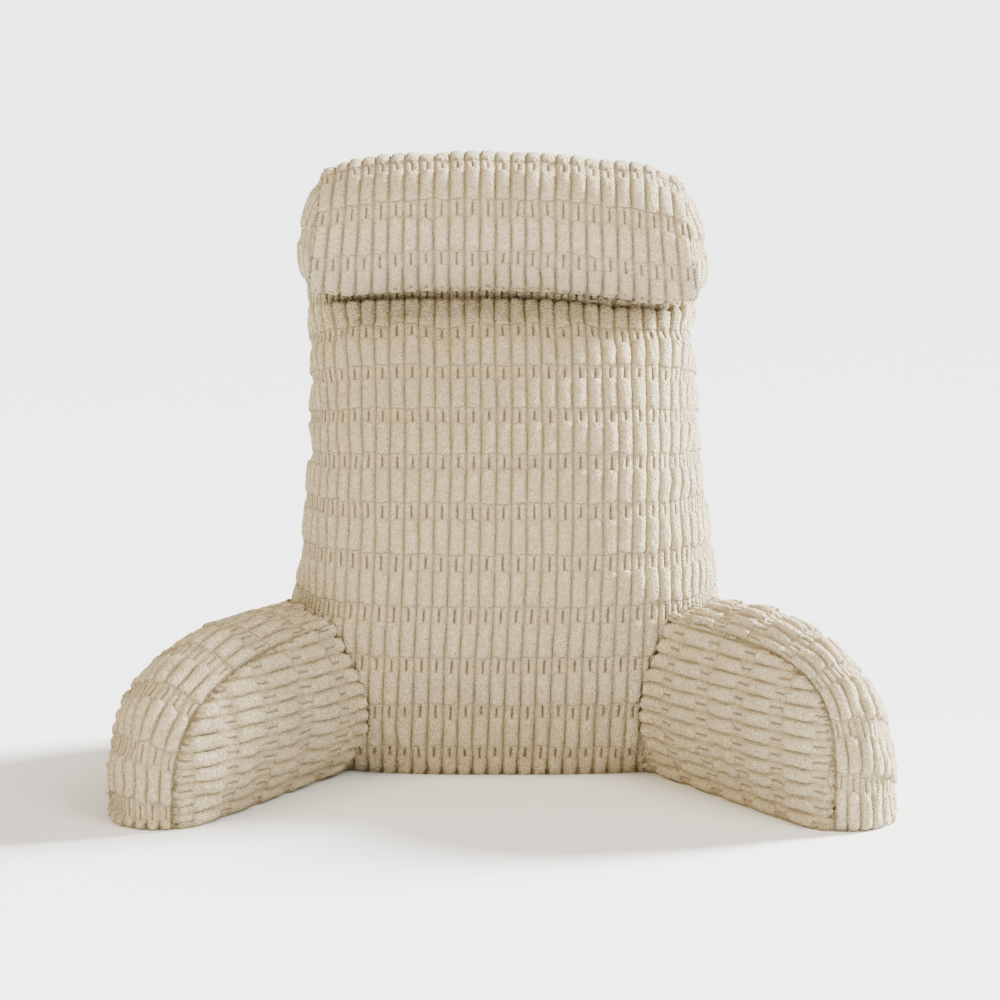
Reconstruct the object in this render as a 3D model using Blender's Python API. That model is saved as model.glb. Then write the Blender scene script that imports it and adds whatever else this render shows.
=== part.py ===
"""Reading pillow with arms: a filled back cushion, two filled arms and a filled head bolster.

The pillow stands upright on the flat undersides of its back and arms. The origin is the middle of
the back's flat underside: +X to the right of the person who sees the face, +Y towards the rear, +Z
up. Every piece is one filled solid, and the cloth's ribs are raised in it.
"""
import math
from collections import namedtuple

import bmesh
import bpy
from mathutils import Vector

# ------------------------------------------------------------------ the cloth, in metres
WALE = 0.0160          # width of one rib of the cloth, groove to groove
RIB = 0.0028           # height of a rib above the groove beside it
PAD = 0.0550           # length of one pad along a rib, from split to split
DIP = 0.0010           # how much lower a rib lies at a split
PINCH = 0.0050         # how far the back's side seams are drawn in
BAND_PINCH = 0.0020    # how far the seams of an arm's band are drawn in
TOUCH = 0.0006         # gap kept where two pieces press together

# ------------------------------------------------------------------ the back cushion
FIRST_SPLIT = 0.0400   # from the base to the lowest split, along the face
BASE_CURL = 0.0130     # from the base to the row where the face has left the floor
FRONT_SQUARENESS = 3.2     # superellipse power of the front half of a cross-section
REAR_SQUARENESS = 4.4      # and of its rear half
REAR_SEAM_AT = 0.90        # share of the half width at which the rear panel is sewn on
WRAP_REACH = 0.49          # more than the front wrap measures from its middle to the rear seam
PANEL_REACH = 0.24         # more than the rear panel measures from its middle to the seam
TOP_MARGIN = 0.010         # length of face left without a row below the top seam
PLACE_STEPS = 40           # steps from one section to the next when the face is measured

BackSection = namedtuple("BackSection", "front_y front_z rear_y rear_z half_width centre_x")
BACK_SECTIONS = (
    BackSection(-0.110, 0.000, 0.110, 0.000, 0.220, 0.000),
    BackSection(-0.135, 0.032, 0.138, 0.036, 0.236, 0.000),
    BackSection(-0.152, 0.080, 0.150, 0.088, 0.235, 0.000),
    BackSection(-0.168, 0.140, 0.157, 0.146, 0.229, 0.000),
    BackSection(-0.169, 0.195, 0.160, 0.192, 0.221, 0.001),
    BackSection(-0.156, 0.250, 0.161, 0.234, 0.215, 0.001),
    BackSection(-0.130, 0.310, 0.162, 0.276, 0.210, 0.000),
    BackSection(-0.092, 0.365, 0.163, 0.316, 0.206, -0.001),
    BackSection(-0.046, 0.413, 0.164, 0.356, 0.205, -0.002),
    BackSection(-0.001, 0.452, 0.165, 0.396, 0.205, -0.003),
    BackSection(0.039, 0.488, 0.165, 0.436, 0.207, -0.004),
    BackSection(0.074, 0.524, 0.164, 0.476, 0.207, -0.004),
    BackSection(0.106, 0.554, 0.163, 0.512, 0.203, -0.004),
    BackSection(0.134, 0.573, 0.160, 0.546, 0.195, -0.004),
    BackSection(0.150, 0.577, 0.156, 0.569, 0.184, -0.004),
)

# ------------------------------------------------------------------ the arms
BAND_CHORD = 0.086     # straight width of the band between its two seams
BAND_WALES = 7         # ribs across the band
BAND_HALF_ANGLE = 0.97     # half of the arc that the band's crown spans, in radians
ARM_ROOT = 0.080       # how far the arm reaches behind its own origin, into the back
ARM_CURL = 0.008       # radius of the rounded edge round the underside
LOW_ROW = 0.0016       # height of the row of points halfway round that edge
SIDE_SHARE = 0.97      # share of the arm's height that has ribs on its side panels
ROW_GAP = 0.0005       # least height between two rows of points
SIDE_BULGE = 0.022     # swell of an arm's side panels
ROOT_PRESS = 0.82      # share of the band's crown that is pressed flat beside the back
PRESS_LENGTH = 0.140   # how far along the arm the crown takes to rise to the full
WIDEST_AT = 0.55       # share of the arm's height at which its root is at its widest
EDGE_POWER = 12.0      # how late the side panel turns in to the band's seam
PANEL_STEPS = (0.0, 0.12, 0.24, 0.36, 0.48, 0.60, 0.72, 0.83, 0.91, 0.96, 0.99, 1.0)
TOP_LEVELS = (0.985, 0.995, 0.999, 1.0)

ARM_COLUMNS = "name side splay foot_x foot_y length height inner_arch outer_arch widening root_swell"
Arm = namedtuple("Arm", ARM_COLUMNS)
ARMS = (
    Arm("arm_left", -1.0, 36.5, -0.338, -0.335, 0.282, 0.175, 3.1, 3.7, 0.016, 0.010),
    Arm("arm_right", 1.0, 38.0, 0.333, -0.342, 0.291, 0.182, 4.8, 3.4, 0.012, 0.002),
)

# ------------------------------------------------------------------ the head bolster
BOLSTER_LENGTH = 0.406
BOLSTER_RADIUS = 0.0735
BOLSTER_CENTRE_X = -0.003
BOLSTER_CENTRE_Y = 0.024
BOLSTER_CENTRE_Z = 0.569
BOLSTER_ARCH = 0.016       # how much lower the ends lie than the middle
BOLSTER_TILT = 0.005       # how much lower the right end lies than a level bolster's
BOLSTER_LEAN = 0.12        # how far its ends lean in for each metre of height above its axis
BOLSTER_SHOULDER = 0.035   # length over which each end narrows to its end panel
SHOULDER_POWER = 2.2       # how late it narrows
BOLSTER_PADS = 9           # pads round the bolster
BOLSTER_FIRST_SPLIT = math.radians(18.0)
BOLSTER_DOME = 0.014       # swell of the round end panels
END_PANEL_SHARE = 0.88     # radius of an end panel over the bolster's radius
DomeRing = namedtuple("DomeRing", "radius_share height_share")
DOME_RINGS = (DomeRing(0.86, 0.42), DomeRing(0.62, 0.76), DomeRing(0.32, 0.95))

CREAM = (0.66, 0.58, 0.45)
CLOTH_ROUGHNESS = 0.95


# ------------------------------------------------------------------ small tools
def spline(rows, place):
    """A row of a table at a place between two rows, on a smooth curve through all of them."""
    last = len(rows) - 1
    place = min(max(place, 0.0), float(last))
    low = min(int(place), last - 1)
    share = place - low
    before, start, end, after = (rows[min(max(low + step, 0), last)] for step in (-1, 0, 1, 2))
    mixed = []
    for p0, p1, p2, p3 in zip(before, start, end, after):
        slope_1 = 0.5 * (p2 - p0)
        slope_2 = 0.5 * (p3 - p1)
        cube = 2.0 * (p1 - p2) + slope_1 + slope_2
        square = 3.0 * (p2 - p1) - 2.0 * slope_1 - slope_2
        mixed.append(((cube * share + square) * share + slope_1) * share + p1)
    return type(rows[0])(*mixed)


def measured(points):
    """Each point with its distance along the line through all of them."""
    line = [(0.0, points[0])]
    for point in points[1:]:
        line.append((line[-1][0] + (point - line[-1][1]).length, point))
    return line


def along(line, distance):
    """The point at a distance along a measured line, and the line's direction there."""
    distance = min(max(distance, 0.0), line[-1][0])
    for (start, p), (end, q) in zip(line, line[1:]):
        if distance <= end and end > start:
            return p.lerp(q, (distance - start) / (end - start)), (q - p).normalized()
    return line[-1][1].copy(), (line[-1][1] - line[-2][1]).normalized()


def loft(name, rings):
    """One closed mesh through rings of equal count, with a flat face over its first and last ring."""
    mesh = bmesh.new()
    rows = [[mesh.verts.new(point) for point in ring] for ring in rings]
    for lower, upper in zip(rows, rows[1:]):
        for here in range(len(lower)):
            there = (here + 1) % len(lower)
            mesh.faces.new((lower[here], lower[there], upper[there], upper[here]))
    mesh.faces.new(rows[0])
    mesh.faces.new(rows[-1])
    bmesh.ops.remove_doubles(mesh, verts=mesh.verts, dist=0.00002)
    bmesh.ops.dissolve_degenerate(mesh, edges=mesh.edges, dist=0.00002)
    bmesh.ops.recalc_face_normals(mesh, faces=mesh.faces)
    data = bpy.data.meshes.new(name)
    mesh.to_mesh(data)
    mesh.free()
    return bpy.data.objects.new(name, data)


def cloth_material(name):
    """Cream pile cloth, matt."""
    material = bpy.data.materials.new(name)
    material.use_nodes = True
    shader = material.node_tree.nodes["Principled BSDF"]
    shader.inputs["Base Color"].default_value = (*CREAM, 1.0)
    shader.inputs["Roughness"].default_value = CLOTH_ROUGHNESS
    shader.inputs["Metallic"].default_value = 0.0
    return material


def finish_piece(piece, collection):
    """Put a piece in its collection with a cloth material of its own."""
    collection.objects.link(piece)
    piece.data.materials.append(cloth_material(piece.name + "_cloth"))


# ------------------------------------------------------------------ the back cushion
def superellipse(half_width, half_depth, power, steps=96):
    """A quarter outline from the middle of a face (x = 0) round to the widest point of the side."""
    points = []
    for step in range(steps + 1):
        angle = 0.5 * math.pi * step / steps
        across = half_width * math.sin(angle) ** (2.0 / power)
        depth = half_depth * math.cos(angle) ** (2.0 / power)
        points.append(Vector((across, depth)))
    return points


def back_outline(half_width, half_depth):
    """The front wrap and the rear panel of a cross-section, each from its middle to their seam."""
    front = [Vector((p.x, -p.y)) for p in superellipse(half_width, half_depth, FRONT_SQUARENESS)]
    rear = superellipse(half_width, half_depth, REAR_SQUARENESS)
    flat = [p for p in rear if p.x <= REAR_SEAM_AT * half_width]
    corner = [p for p in rear if p.x > REAR_SEAM_AT * half_width]
    wrap = front + corner[-2::-1] + flat[-1:]
    return measured(wrap), measured(flat)


def ribbed_line(line, turn, count, step, dip, crests_only):
    """Points along half an outline, crest and groove by turns, stopping at the seam."""
    points = []
    for index in range(count):
        distance = index * step
        point, heading = along(line, distance)
        outward = Vector((heading.y, -heading.x)) * turn
        if crests_only:
            offset = TOUCH
        elif distance >= line[-1][0]:
            offset = -PINCH
        elif index % 2:
            offset = -RIB
        else:
            offset = -dip
        points.append(point + outward * offset)
    return points


def back_ring(section, dip, crests_only):
    """One cross-section of the back: the front wrap from seam to seam, then the rear panel."""
    front = Vector((section.front_y, section.front_z))
    rear = Vector((section.rear_y, section.rear_z))
    middle = (front + rear) / 2.0
    inward = (rear - front).normalized()
    wrap, panel = back_outline(section.half_width, (rear - front).length / 2.0)
    step = WALE if crests_only else WALE / 2.0
    wrap_count = int(WRAP_REACH / step)
    panel_count = int(PANEL_REACH / step)
    wrap_half = ribbed_line(wrap, 1.0, wrap_count, step, dip, crests_only)
    panel_half = ribbed_line(panel, -1.0, panel_count, step, dip, crests_only)
    outline = [Vector((-p.x, p.y)) for p in reversed(wrap_half[1:])] + wrap_half
    outline += list(reversed(panel_half[:-1])) + [Vector((-p.x, p.y)) for p in panel_half[1:-1]]
    ring = []
    for point in outline:
        place = middle + inward * point.y
        ring.append(Vector((section.centre_x + point.x, place.x, place.y)))
    return ring


def back_rows():
    """Places along the table of sections for each row of points, each with its dip at a split."""
    steps = PLACE_STEPS * (len(BACK_SECTIONS) - 1)
    places = [step / PLACE_STEPS for step in range(steps + 1)]
    faces = [spline(BACK_SECTIONS, place) for place in places]
    line = measured([Vector((face.front_y, face.front_z)) for face in faces])

    def place_at(distance):
        for (start, _), (end, _), place in zip(line, line[1:], places):
            if distance <= end:
                return place + (distance - start) / (end - start) / PLACE_STEPS
        return places[-1]

    rows = [(0.0, 0.0), (place_at(BASE_CURL / 2.0), 0.0), (place_at(BASE_CURL), 0.0)]
    distance = FIRST_SPLIT
    split = True
    while distance < line[-1][0] - TOP_MARGIN:
        rows.append((place_at(distance), DIP if split else 0.0))
        distance += PAD / 2.0
        split = not split
    rows.append((places[-1], 0.0))
    return rows


def back_cushion(name, crests_only=False):
    """The back, lofted from the floor up the face, over the top and down to the rear top seam."""
    rings = []
    for place, dip in back_rows():
        rings.append(back_ring(spline(BACK_SECTIONS, place), dip, crests_only))
    return loft(name, rings)


# ------------------------------------------------------------------ the arms
def curl(height):
    """How far the skin is drawn in at a height above the floor, by the rounded lower edge."""
    if height >= ARM_CURL:
        return 0.0
    return ARM_CURL - math.sqrt(ARM_CURL ** 2 - (ARM_CURL - height) ** 2)


def arm_levels(arm):
    """Heights of the arm's rows of points, each with its groove depth on the side panels."""
    levels = [(0.0, 0.0), (LOW_ROW, 0.0)]
    count = int(SIDE_SHARE * arm.height / (WALE / 2.0))
    for index in range(1, count + 1):
        levels.append((index * WALE / 2.0, RIB if index % 2 == 0 else 0.0))
    for share in TOP_LEVELS:
        if share * arm.height > levels[-1][0] + ROW_GAP:
            levels.append((share * arm.height, 0.0))
    return levels


def arch_reach(arm, height, power):
    """How far forward the arch of the arm lies at a height, for the arch's power."""
    share = min(height / arm.height, 1.0)
    reach = (1.0 - share ** power) ** (1.0 / power)
    return -ARM_ROOT + (arm.length + ARM_ROOT) * reach


def arch_normal(arm, height, power):
    """Outward direction of the arch at a height, as its forward and its upward part."""
    forward = ((arch_reach(arm, height, power) + ARM_ROOT) / (arm.length + ARM_ROOT)) ** (power - 1.0)
    upward = (height / arm.height) ** (power - 1.0)
    normal = Vector((forward / (arm.length + ARM_ROOT), upward / arm.height))
    return normal.normalized()


def widening(arm, forward, height):
    """How much further in the inner seam lies at a place, as the arm widens towards the back."""
    rise = math.sin(0.5 * math.pi * min(1.0, height / arm.height / WIDEST_AT))
    return arm.widening * max(0.0, 1.0 - forward / arm.length) * rise


def panel_line(arm, height, groove, inner):
    """Points along one side panel, from its root to the band's seam, as reach and offset."""
    power = arm.inner_arch if inner else arm.outer_arch
    reach = arch_reach(arm, height, power)
    up = min(height / arm.height, 1.0)
    points = []
    for share in PANEL_STEPS:
        forward = -ARM_ROOT + (reach + ARM_ROOT) * share
        along_arm = (forward + ARM_ROOT) / (arm.length + ARM_ROOT)
        rim = min(1.0, (along_arm ** power + up ** power) ** (1.0 / power))
        edge = math.sqrt(1.0 - rim ** EDGE_POWER)
        swell = SIDE_BULGE
        offset = BAND_CHORD / 2.0
        if inner:
            near_back = max(0.0, 1.0 - forward / arm.length)
            crown = math.sin(math.pi * up)
            swell = SIDE_BULGE * (1.0 - near_back * (1.0 - crown)) + arm.root_swell * near_back * crown
            offset += widening(arm, forward, height)
        drawn_in = BAND_PINCH if share == PANEL_STEPS[-1] else groove
        points.append(Vector((forward, offset + swell * edge - drawn_in - curl(height))))
    return points


def band_line(arm, height):
    """Points across the band at one row of the arch, as forward, across and up."""
    radius = BAND_CHORD / 2.0 / math.sin(BAND_HALF_ANGLE)
    points = []
    for index in range(1, 2 * BAND_WALES):
        share = index / (2 * BAND_WALES)
        angle = BAND_HALF_ANGLE * (1.0 - 2.0 * share)
        power = arm.inner_arch + (arm.outer_arch - arm.inner_arch) * share
        normal = arch_normal(arm, height, power)
        reach = arch_reach(arm, height, power)
        press = 1.0 - ROOT_PRESS * min(1.0, max(0.0, 1.0 - reach / PRESS_LENGTH))
        stretch = 1.0 + widening(arm, reach, height) / (BAND_CHORD / 2.0)
        groove = RIB if index % 2 == 0 else 0.0
        size = radius - groove - curl(height)
        lift = press * (size * math.cos(angle) - radius * math.cos(BAND_HALF_ANGLE))
        across = size * math.sin(angle) * (stretch if angle > 0.0 else 1.0)
        points.append(Vector((reach + normal.x * lift, across, height + normal.y * lift)))
    return points


def arm_ring(arm, height, groove):
    """One row of the arm: inner panel forward, across the band, outer panel back to the root."""
    inner = [Vector((p.x, p.y, height)) for p in panel_line(arm, height, groove, True)]
    outer = [Vector((p.x, -p.y, height)) for p in panel_line(arm, height, groove, False)]
    return inner + band_line(arm, height) + list(reversed(outer))


def arm_cushion(arm):
    """One arm, placed with the inner seam of its band on its foot point."""
    splay = math.radians(arm.splay)
    forward = Vector((arm.side * math.sin(splay), -math.cos(splay), 0.0))
    inward = Vector((-arm.side * math.cos(splay), -math.sin(splay), 0.0))
    foot = Vector((arm.foot_x, arm.foot_y, 0.0))
    origin = foot - forward * arm.length - inward * BAND_CHORD / 2.0
    rings = []
    for height, groove in arm_levels(arm):
        ring = []
        for point in arm_ring(arm, height, groove):
            place = origin + forward * point.x + inward * point.y
            ring.append(Vector((place.x, place.y, point.z)))
        rings.append(ring)
    return loft(arm.name, rings)


# ------------------------------------------------------------------ the head bolster
def bolster_ring(across, radius, dips):
    """One ring of the bolster round its arched axis."""
    share = 2.0 * across / BOLSTER_LENGTH
    lean = BOLSTER_LEAN * share ** 3
    centre_z = BOLSTER_CENTRE_Z - BOLSTER_ARCH * share * share - BOLSTER_TILT * share
    ring = []
    for index in range(2 * BOLSTER_PADS):
        angle = BOLSTER_FIRST_SPLIT + math.pi * index / BOLSTER_PADS
        size = radius - (DIP if dips and index % 2 == 0 else 0.0)
        rise = size * math.sin(angle)
        x = BOLSTER_CENTRE_X + across - lean * rise
        ring.append(Vector((x, BOLSTER_CENTRE_Y - size * math.cos(angle), centre_z + rise)))
    return ring


def bolster_end(side):
    """Rings of one domed end panel, from its seam to its middle."""
    half = BOLSTER_LENGTH / 2.0
    rings = [bolster_ring(side * half, BOLSTER_RADIUS * END_PANEL_SHARE, False)]
    for dome in DOME_RINGS:
        reach = side * (half + BOLSTER_DOME * dome.height_share)
        radius = BOLSTER_RADIUS * END_PANEL_SHARE * dome.radius_share
        rings.append(bolster_ring(reach, radius, False))
    return rings


def head_bolster(name):
    """The bolster: ribs run round it, with a domed round panel sewn on each end."""
    half = BOLSTER_LENGTH / 2.0
    count = int(half / (WALE / 2.0))
    rings = list(reversed(bolster_end(-1.0)))
    for index in range(-count, count + 1):
        across = index * WALE / 2.0
        shoulder = max(0.0, 1.0 - (half - abs(across)) / BOLSTER_SHOULDER)
        narrow = BOLSTER_RADIUS * (1.0 - END_PANEL_SHARE) * shoulder ** SHOULDER_POWER
        groove = RIB if index % 2 else 0.0
        rings.append(bolster_ring(across, BOLSTER_RADIUS - narrow - groove, groove == 0.0))
    rings += bolster_end(1.0)
    return loft(name, rings)


# ------------------------------------------------------------------ assembly
def cut_by(piece, cutter):
    """Seat a piece against the shape that it presses on."""
    seat = piece.modifiers.new("seat", "BOOLEAN")
    seat.operation = "DIFFERENCE"
    seat.object = cutter
    seat.solver = "EXACT"


for leftover in list(bpy.data.objects):
    bpy.data.objects.remove(leftover, do_unlink=True)

pillow = bpy.data.collections.new("reading_pillow")
cutters = bpy.data.collections.new("cutters")
bpy.context.scene.collection.children.link(pillow)
bpy.context.scene.collection.children.link(cutters)

back_seat = back_cushion("back_seat", crests_only=True)
back_seat.hide_render = True
back_seat.display_type = "WIRE"
cutters.objects.link(back_seat)

finish_piece(back_cushion("back_cushion"), pillow)

for arm in ARMS:
    cushion = arm_cushion(arm)
    finish_piece(cushion, pillow)
    cut_by(cushion, back_seat)

bolster = head_bolster("head_bolster")
finish_piece(bolster, pillow)
cut_by(bolster, back_seat)
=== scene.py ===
import math
from collections import namedtuple

import bmesh
import bpy
import numpy as np
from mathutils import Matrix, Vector, kdtree
from mathutils.bvhtree import BVHTree
from mathutils.geometry import delaunay_2d_cdt


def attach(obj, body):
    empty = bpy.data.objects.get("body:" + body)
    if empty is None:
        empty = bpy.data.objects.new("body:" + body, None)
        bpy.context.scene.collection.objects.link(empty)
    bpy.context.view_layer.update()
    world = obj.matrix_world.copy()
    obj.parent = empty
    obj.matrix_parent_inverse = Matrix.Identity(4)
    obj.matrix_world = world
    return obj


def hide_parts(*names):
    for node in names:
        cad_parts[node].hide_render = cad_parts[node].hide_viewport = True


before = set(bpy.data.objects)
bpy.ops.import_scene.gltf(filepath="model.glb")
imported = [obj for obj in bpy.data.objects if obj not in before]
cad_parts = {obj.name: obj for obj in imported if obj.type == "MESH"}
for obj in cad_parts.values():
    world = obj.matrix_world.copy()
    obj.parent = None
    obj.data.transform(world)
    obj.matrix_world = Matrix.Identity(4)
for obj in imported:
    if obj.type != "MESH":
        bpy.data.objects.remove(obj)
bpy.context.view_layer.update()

# ==================== the back cushion
# The wedge-shaped back is one cover of ribbed plush round a firm polyester filling: a front wrap up the
# face and round both sides, a rear panel and a flat base. The ribs run up the face, each split into pads
# by short slots. The cover is drawn in at every seam, and along the line where the bolster hangs.

WALE = 0.0160  # width of one rib of the cloth, groove to groove
PAD = 0.0550  # length of one pad along a rib, from split to split
SLOT_LENGTH = 0.0138  # length of the slot that parts a rib in two at each split
SEAT_GAP = 0.0005  # space between two covers that press on each other
JOIN_GAP = 0.00006  # points of two panels closer than this are sewn into one
ROW_MARGIN = 0.001  # how close to the end of a panel its last full row may lie

# Places of the mesh's rows along one pad, in metres from the split, and of its columns across one rib,
# as shares of the rib from one groove to the next: they lie closest where the cloth bends most.
PAD_ROWS = (-0.0205, -0.0150, -0.0118, -0.0100, -0.0084, -0.0068, -0.0040,
            0.0040, 0.0068, 0.0084, 0.0100, 0.0118, 0.0150, 0.0205, PAD / 2.0)
RIB_COLUMNS = (0.0, 0.075, 0.25, 0.43, 0.5, 0.57, 0.75, 0.925)
PLAIN_COLUMNS = (0.0, 0.10, 0.30, 0.5, 0.70, 0.90)
REAR_COLUMNS = (0.0, 0.12, 0.5, 0.88)

FIRST_SPLIT = 0.0335  # from the base to the lowest split, along the face
BASE_ROWS = (0.0, 0.0030, 0.0065, 0.0105)
FRONT_SQUARENESS = 3.2  # superellipse power of the front half of a cross-section
REAR_SQUARENESS = 4.4  # and of its rear half
REAR_SEAM_AT = 0.90  # share of the half width at which the rear panel is sewn on
FINE_REACH = 18.0  # ribs to each side of the middle that the face shows
WRAP_REACH = 31.0  # more ribs than lie between the middle and the side seam
PANEL_REACH = 14.0  # more ribs than lie between the middle of the rear panel and its seam
REAR_CLOTH = 200.0  # the rear panel's ribs are counted from here
RIB_DRIFT = 0.012  # how far the ribs stray to the left at the base
DRIFT_HEIGHT = 0.36  # height from which they stray
# Seams that draw the cover in deeply, such as the one under the bolster, are also darkened with painted
# shade.
BACK_SEAM_DEPTH = 0.0030  # how far a seam draws the back's cover in
CREASE_DEPTH = 0.0080  # and the seam by which the bolster hangs on the face
SEAM_REACH = 0.08  # the distance to a seam is not told beyond this
# Places of the bolster's seam, across the face and up, and how much of the line through them is sewn.
CREASE_LENGTH = 0.381
CREASE = ((-0.190, 0.483), (-0.120, 0.489), (-0.060, 0.4915), (0.0, 0.4905),
          (0.060, 0.4865), (0.125, 0.4795), (0.190, 0.472))

# Cross-sections of the back from its base to its top seam: the y and z of its middle in front, the y and z
# of its middle behind, half its width, and the x of its middle.
BACK_SECTIONS = (
    (-0.110, 0.000, 0.110, 0.000, 0.220, 0.000),
    (-0.135, 0.032, 0.138, 0.036, 0.236, 0.000),
    (-0.152, 0.080, 0.150, 0.088, 0.235, 0.000),
    (-0.168, 0.140, 0.157, 0.146, 0.229, 0.000),
    (-0.169, 0.195, 0.160, 0.192, 0.221, 0.001),
    (-0.156, 0.250, 0.161, 0.234, 0.215, 0.001),
    (-0.130, 0.310, 0.162, 0.276, 0.210, 0.000),
    (-0.092, 0.365, 0.163, 0.316, 0.206, -0.001),
    (-0.046, 0.413, 0.164, 0.356, 0.205, -0.002),
    (-0.001, 0.452, 0.165, 0.396, 0.205, -0.003),
    (0.039, 0.488, 0.165, 0.436, 0.207, -0.004),
    (0.074, 0.524, 0.164, 0.476, 0.207, -0.004),
    (0.106, 0.554, 0.163, 0.512, 0.203, -0.004),
    (0.134, 0.573, 0.160, 0.546, 0.195, -0.004),
    (0.150, 0.577, 0.156, 0.569, 0.184, -0.004),
)


def smooth_rows(table, places):
    """Rows of a table at places between its rows, on smooth curves through all of them."""
    rows = np.array(table, float)
    places = np.clip(np.asarray(places, float), 0.0, len(rows) - 1.0)
    low = np.minimum(places.astype(int), len(rows) - 2)
    share = (places - low)[:, None]
    p0, p1, p2, p3 = (rows[np.clip(low + step, 0, len(rows) - 1)] for step in (-1, 0, 1, 2))
    slope_1 = 0.5 * (p2 - p0)
    slope_2 = 0.5 * (p3 - p1)
    cube = 2.0 * (p1 - p2) + slope_1 + slope_2
    square = 3.0 * (p2 - p1) - 2.0 * slope_1 - slope_2
    return ((cube * share + square) * share + slope_1) * share + p1


def lengths_along(points):
    """Distance from the first point to each, along the line through all of them."""
    steps = np.linalg.norm(np.diff(points, axis=0), axis=1)
    return np.concatenate(([0.0], np.cumsum(steps)))


def at_lengths(points, wanted):
    """Points at the wanted distances along a line, which stops at its two ends."""
    measured = lengths_along(points)
    return np.stack([np.interp(wanted, measured, axis) for axis in points.T], axis=1)


def rib_columns(reach, shares, start=0.0):
    """Places of the mesh's columns from start to reach, in ribs, where a rib's crest lies at 0."""
    found = [rib - 0.5 + share for rib in range(int(reach) + 2) for share in shares]
    return [place for place in found if start <= place <= reach]


def quarter_outline(half_width, half_depth, power, steps=140):
    """A superellipse from the middle of a face round to the widest point of its side."""
    angle = np.linspace(0.0, 0.5 * math.pi, steps + 1)
    across = half_width * np.sin(angle) ** (2.0 / power)
    depth = half_depth * np.clip(np.cos(angle), 0.0, 1.0) ** (2.0 / power)
    return np.stack([across, depth], axis=1)


def back_outline(half_width, half_depth):
    """The front wrap and the rear panel of a cross-section, each from its middle to their seam."""
    front = quarter_outline(half_width, half_depth, FRONT_SQUARENESS) * (1.0, -1.0)
    rear = quarter_outline(half_width, half_depth, REAR_SQUARENESS)
    flat = rear[rear[:, 0] <= REAR_SEAM_AT * half_width]
    corner = rear[rear[:, 0] > REAR_SEAM_AT * half_width]
    return np.concatenate([front, corner[-2::-1], flat[-1:]]), flat


def back_ring(section, wrap_columns, panel_columns):
    """One cross-section of the back, from the left seam over the face and back along the rear."""
    front, rear, half_width, centre_x = section[:2], section[2:4], *section[4:]
    depth = np.linalg.norm(rear - front)
    wrap, panel = back_outline(half_width, depth / 2.0)
    drift = RIB_DRIFT * max(0.0, 1.0 - front[1] / DRIFT_HEIGHT)
    whole_wrap = np.concatenate([wrap[:0:-1] * (-1.0, 1.0), wrap])
    panel_half = at_lengths(panel, panel_columns * WALE)
    flat = np.concatenate([
        at_lengths(whole_wrap, lengths_along(wrap)[-1] + (wrap_columns * WALE - drift)),
        panel_half[::-1], panel_half[1:] * (-1.0, 1.0),
    ])
    place = (front + rear) / 2.0 + np.outer(flat[:, 1], (rear - front) / depth)
    return np.column_stack([centre_x + flat[:, 0], place])


def new_cover():
    """An empty cover, to which panels are sewn."""
    return {"points": [], "faces": [], "cloth": [], "seams": []}


def sew_on(cover, points, faces, cloth):
    """Add a panel: its points, its faces, and each point's rib and pad in the panel's own cloth."""
    first = sum(map(len, cover["points"]))
    cover["points"].append(points)
    cover["cloth"].append(cloth)
    cover["faces"] += [[first + index for index in face] for face in faces]


def sew_grid(cover, grid, cloth):
    """Add a panel whose points are a grid of rows and columns."""
    rows, columns = grid.shape[:2]
    here = np.arange(rows - 1)[:, None] * columns + np.arange(columns - 1)
    faces = np.stack([here, here + 1, here + 1 + columns, here + columns], axis=-1)
    sew_on(cover, grid.reshape(-1, 3), faces.reshape(-1, 4).tolist(), cloth.reshape(-1, 2))


def read_rows(items, field, width, kind=np.float32):
    """One field of all the points, edges or corners of a mesh, a row of numbers for each."""
    values = np.empty(len(items) * width, kind)
    items.foreach_get(field, values)
    return values.reshape(-1, width)


def store(data, title, values):
    """Keep a value at each point of a mesh."""
    data.attributes.new(title, "FLOAT", "POINT").data.foreach_set("value", np.array(values, np.float32))


def new_object(name, data):
    """An object in the scene."""
    thing = bpy.data.objects.new(name, data)
    bpy.context.scene.collection.objects.link(thing)
    return thing


def write_back(mesh, data):
    """Turn the faces of an edited mesh outward and put it back."""
    bmesh.ops.recalc_face_normals(mesh, faces=mesh.faces)
    mesh.to_mesh(data)
    mesh.free()
    data.shade_smooth()


def close_cover(cover, name):
    """One mesh of all the panels, joined where their edges meet, with its cloth coordinates."""
    cloth = np.concatenate(cover["cloth"]).astype(np.float32)
    data = bpy.data.meshes.new(name)
    data.from_pydata(np.concatenate(cover["points"]).tolist(), [], cover["faces"])
    corners = read_rows(data.loops, "vertex_index", 1, np.int32)
    data.uv_layers.new(name="cloth").data.foreach_set("uv", cloth[corners].ravel())
    store(data, "wale", cloth[:, 0])
    store(data, "pad", cloth[:, 1])
    mesh = bmesh.new()
    mesh.from_mesh(data)
    bmesh.ops.remove_doubles(mesh, verts=mesh.verts, dist=JOIN_GAP)
    bmesh.ops.dissolve_degenerate(mesh, edges=mesh.edges, dist=JOIN_GAP / 2.0)
    write_back(mesh, data)
    return new_object(name, data)


def positions(piece):
    """The points of a piece as an array."""
    return read_rows(piece.data.vertices, "co", 3).astype(float)


def move_points(piece, places):
    """Put the points of a piece in new places."""
    piece.data.vertices.foreach_set("co", np.asarray(places, np.float32).ravel())
    piece.data.update()


def outward(mesh):
    """The outward directions at the points of a mesh."""
    return read_rows(mesh.vertices, "normal", 3)


def surface(piece):
    """A tree that finds places on the surface of a piece."""
    faces = [list(face.vertices) for face in piece.data.polygons]
    return BVHTree.FromPolygons(positions(piece).tolist(), faces)


def point_tree(points):
    """A tree that finds the points nearest to a place."""
    tree = kdtree.KDTree(len(points))
    for index, point in enumerate(points):
        tree.insert(point, index)
    tree.balance()
    return tree


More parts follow.
